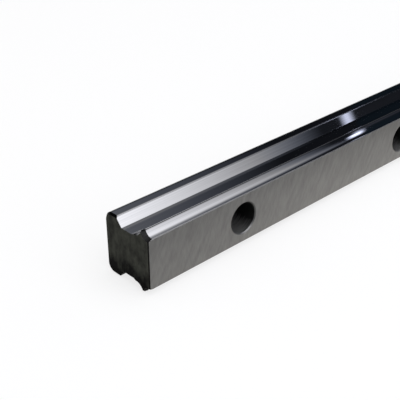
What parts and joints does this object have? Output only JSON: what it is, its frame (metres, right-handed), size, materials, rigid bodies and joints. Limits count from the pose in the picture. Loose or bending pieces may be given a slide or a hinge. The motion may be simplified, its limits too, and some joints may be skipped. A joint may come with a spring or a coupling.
{
  "type": "profile linear guide rail",
  "caption": "Straight ground steel guide rail with ball raceways along both sides and a row of counterbored screw holes in its narrow face.",
  "frame": {"origin": "middle of the footprint on which the rail lies, under the centre of its outer box", "axes": "+X along the rail, away from the end that the picture shows; +Y from the hole face to the mounting base; +Z across the width, up while the rail lies on its side"},
  "size_m": [0.24, 0.014, 0.015],
  "materials": {
    "rail_steel": "ground and hardened bearing steel, satin faces and polished raceways"
  },
  "bodies": {
    "root": {"guide_rail": "rail_steel"}
  },
  "joints": []
}
